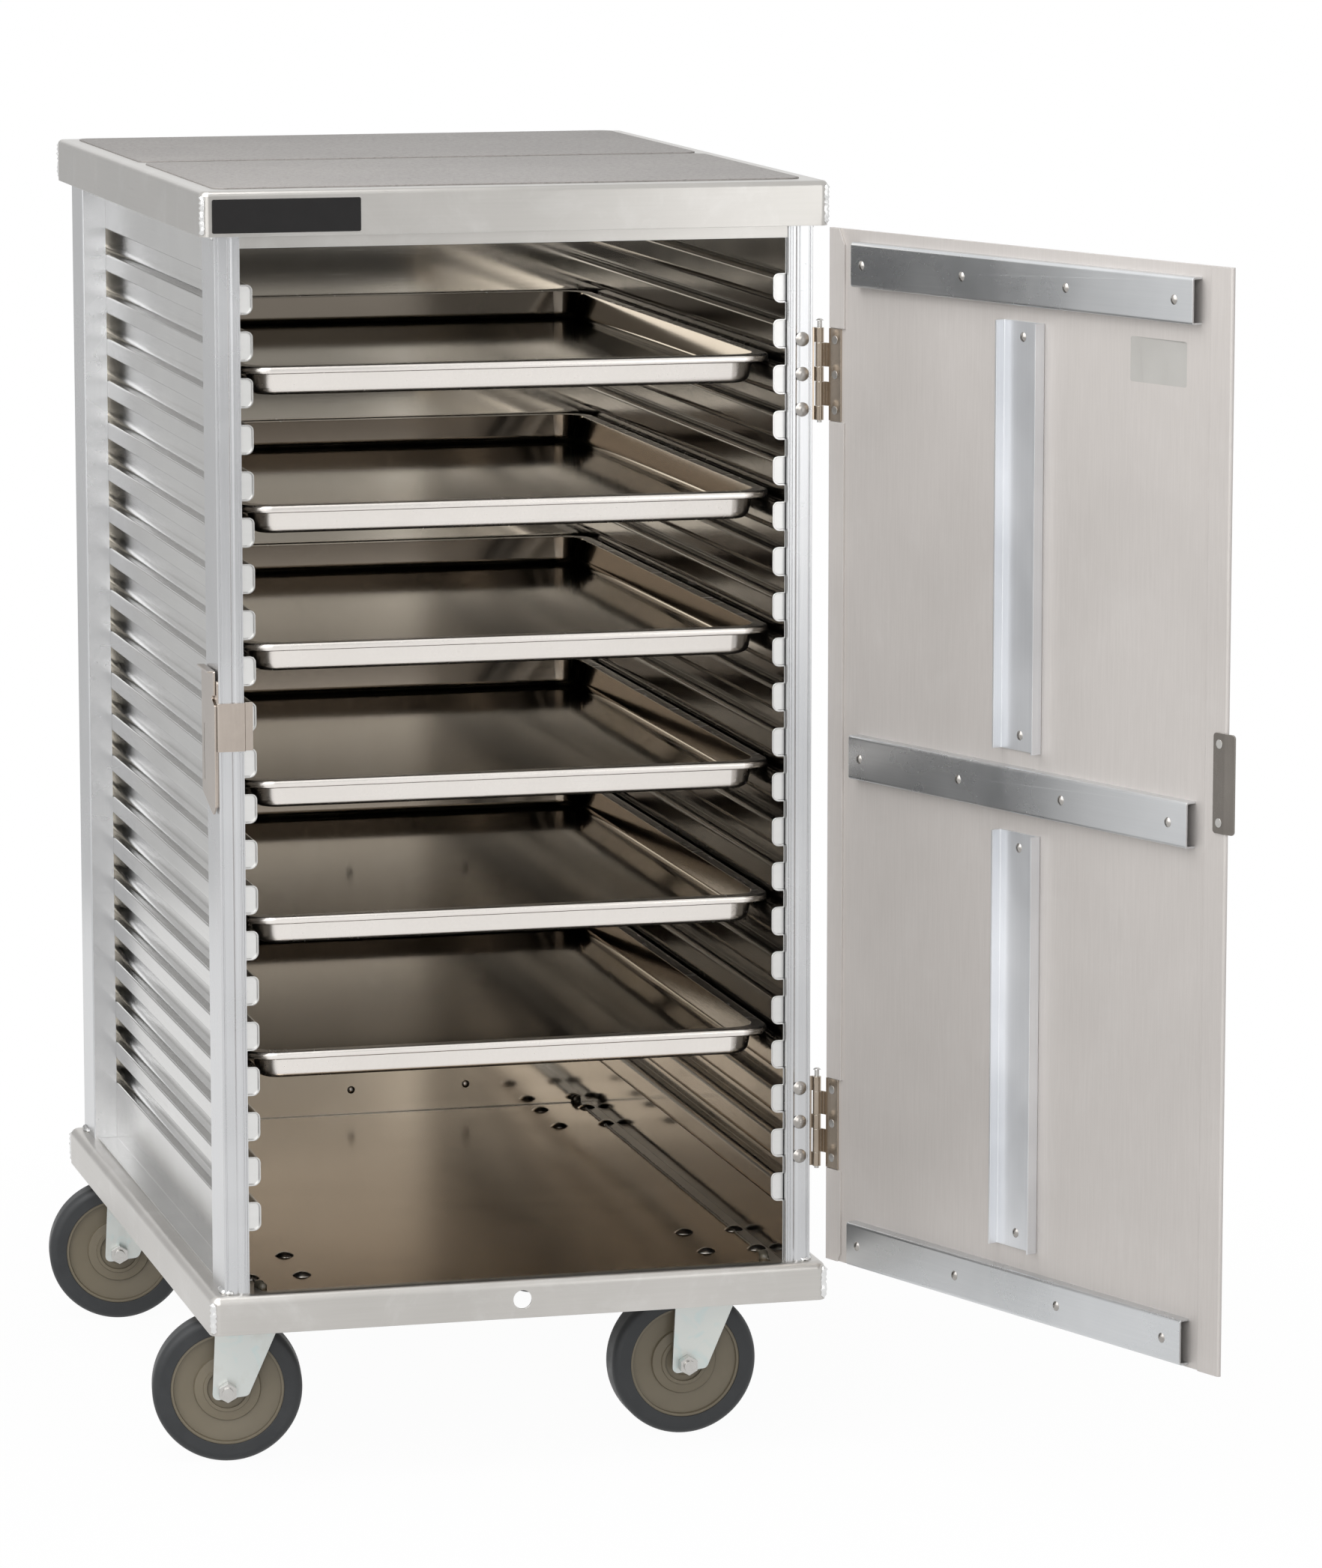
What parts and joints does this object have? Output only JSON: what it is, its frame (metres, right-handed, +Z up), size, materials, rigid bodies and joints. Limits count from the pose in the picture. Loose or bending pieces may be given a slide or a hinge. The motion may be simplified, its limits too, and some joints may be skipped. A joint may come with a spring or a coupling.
{
  "type": "enclosed meal tray cart",
  "caption": "Half-height enclosed aluminium meal tray cart with a hinged front door, ribbed side walls that carry sheet pans, a transport latch and swivel casters.",
  "frame": {"origin": "on the floor, under the middle of the cabinet", "axes": "+X to the right seen from the front, +Y to the back, +Z up; the door opening faces -Y"},
  "size_m": [0.7516, 1.1855, 1.0812],
  "materials": {
    "cabinet_sheet": "satin mill-finish aluminium sheet with light scuffs",
    "post_extrusion": "bright extruded aluminium",
    "wall_sheet": "bright corrugated aluminium sheet",
    "door_sheet": "brushed aluminium sheet with fine vertical grain",
    "door_bars": "extruded aluminium",
    "pan_sheet": "pressed aluminium",
    "hinge_steel": "brushed stainless steel",
    "latch_steel": "brushed stainless steel, warm tint",
    "fastener_steel": "plain steel",
    "caster_zinc": "bright zinc plate",
    "mat_plastic": "mid-grey gritty non-slip mat",
    "plate_black": "black plate, bare",
    "hub_plastic": "taupe moulded plastic",
    "tyre_grey": "dark slate-grey tread"
  },
  "bodies": {
    "cabinet": {"base_pan": "cabinet_sheet", "wall_left": "wall_sheet", "wall_right": "wall_sheet", "back_panel": "cabinet_sheet", "back_stiffeners": "cabinet_sheet", "cabinet_rivets": "fastener_steel", "post_front_left": "post_extrusion", "post_front_right": "post_extrusion", "post_rear_left": "post_extrusion", "post_rear_right": "post_extrusion", "top_cap": "cabinet_sheet", "front_header": "cabinet_sheet", "top_mat_front": "mat_plastic", "top_mat_rear": "mat_plastic", "name_plate": "plate_black", "hinge_frame_leaf_upper": "hinge_steel", "hinge_frame_leaf_lower": "hinge_steel", "hinge_pins": "hinge_steel", "latch_bracket": "latch_steel", "caster_plates": "caster_zinc", "caster_kingpins": "caster_zinc", "caster_bolts": "fastener_steel", "caster_nuts": "caster_zinc"},
    "door": {"door_skin": "door_sheet", "door_bar_top": "door_bars", "door_bar_middle": "door_bars", "door_bar_bottom": "door_bars", "door_channel_upper": "door_bars", "door_channel_lower": "door_bars", "door_rivets": "fastener_steel", "hinge_door_leaf_upper": "hinge_steel", "hinge_door_leaf_lower": "hinge_steel", "door_screws": "fastener_steel", "strike_plate": "latch_steel"},
    "latch": {"latch_lever": "latch_steel"},
    "pan_1": {"sheet_pan_1": "pan_sheet"},
    "pan_2": {"sheet_pan_2": "pan_sheet"},
    "pan_3": {"sheet_pan_3": "pan_sheet"},
    "pan_4": {"sheet_pan_4": "pan_sheet"},
    "pan_5": {"sheet_pan_5": "pan_sheet"},
    "pan_6": {"sheet_pan_6": "pan_sheet"},
    "caster_front_left": {"caster_fork_front_left": "caster_zinc", "axle_bolt_front_left": "caster_zinc"},
    "wheel_front_left": {"wheel_hub_front_left": "hub_plastic", "wheel_tyre_front_left": "tyre_grey"},
    "caster_front_right": {"caster_fork_front_right": "caster_zinc", "axle_bolt_front_right": "caster_zinc"},
    "wheel_front_right": {"wheel_hub_front_right": "hub_plastic", "wheel_tyre_front_right": "tyre_grey"},
    "caster_rear_left": {"caster_fork_rear_left": "caster_zinc", "axle_bolt_rear_left": "caster_zinc"},
    "wheel_rear_left": {"wheel_hub_rear_left": "hub_plastic", "wheel_tyre_rear_left": "tyre_grey"},
    "caster_rear_right": {"caster_fork_rear_right": "caster_zinc", "axle_bolt_rear_right": "caster_zinc"},
    "wheel_rear_right": {"wheel_hub_rear_right": "hub_plastic", "wheel_tyre_rear_right": "tyre_grey"}
  },
  "joints": [
    {"name": "door_hinge", "type": "hinge", "parent": "cabinet", "child": "door", "pos_m": [0.258, -0.3436, 0.6], "axis": [0, 0, 1], "range_deg": [-111.4, 138.6]},
    {"name": "latch_pivot", "type": "hinge", "parent": "cabinet", "child": "latch", "pos_m": [-0.2545, -0.33, 0.582], "axis": [-1, 0, 0], "range_deg": [0, 25]},
    {"name": "pan_1_slide", "type": "slide", "parent": "cabinet", "child": "pan_1", "axis": [0, -1, 0], "range_m": [0, 0.45]},
    {"name": "pan_2_slide", "type": "slide", "parent": "cabinet", "child": "pan_2", "axis": [0, -1, 0], "range_m": [0, 0.45]},
    {"name": "pan_3_slide", "type": "slide", "parent": "cabinet", "child": "pan_3", "axis": [0, -1, 0], "range_m": [0, 0.45]},
    {"name": "pan_4_slide", "type": "slide", "parent": "cabinet", "child": "pan_4", "axis": [0, -1, 0], "range_m": [0, 0.45]},
    {"name": "pan_5_slide", "type": "slide", "parent": "cabinet", "child": "pan_5", "axis": [0, -1, 0], "range_m": [0, 0.45]},
    {"name": "pan_6_slide", "type": "slide", "parent": "cabinet", "child": "pan_6", "axis": [0, -1, 0], "range_m": [0, 0.45]},
    {"name": "swivel_front_left", "type": "hinge", "parent": "cabinet", "child": "caster_front_left", "pos_m": [-0.198, -0.252, 0.14], "axis": [0, 0, 1], "continuous": true},
    {"name": "wheel_spin_front_left", "type": "hinge", "parent": "caster_front_left", "child": "wheel_front_left", "pos_m": [-0.23255, -0.2464, 0.0635], "axis": [0.1599, 0.9871, 0], "continuous": true},
    {"name": "swivel_front_right", "type": "hinge", "parent": "cabinet", "child": "caster_front_right", "pos_m": [0.198, -0.252, 0.14], "axis": [0, 0, 1], "continuous": true},
    {"name": "wheel_spin_front_right", "type": "hinge", "parent": "caster_front_right", "child": "wheel_front_right", "pos_m": [0.163, -0.252, 0.0635], "axis": [0, 1, 0], "continuous": true},
    {"name": "swivel_rear_left", "type": "hinge", "parent": "cabinet", "child": "caster_rear_left", "pos_m": [-0.198, 0.278, 0.14], "axis": [0, 0, 1], "continuous": true},
    {"name": "wheel_spin_rear_left", "type": "hinge", "parent": "caster_rear_left", "child": "wheel_rear_left", "pos_m": [-0.2327, 0.28257, 0.0635], "axis": [0.1305, 0.9914, 0], "continuous": true},
    {"name": "swivel_rear_right", "type": "hinge", "parent": "cabinet", "child": "caster_rear_right", "pos_m": [0.198, 0.278, 0.14], "axis": [0, 0, 1], "continuous": true},
    {"name": "wheel_spin_rear_right", "type": "hinge", "parent": "caster_rear_right", "child": "wheel_rear_right", "pos_m": [0.16317, 0.28148, 0.0635], "axis": [0.0993, 0.9951, 0], "continuous": true}
  ]
}
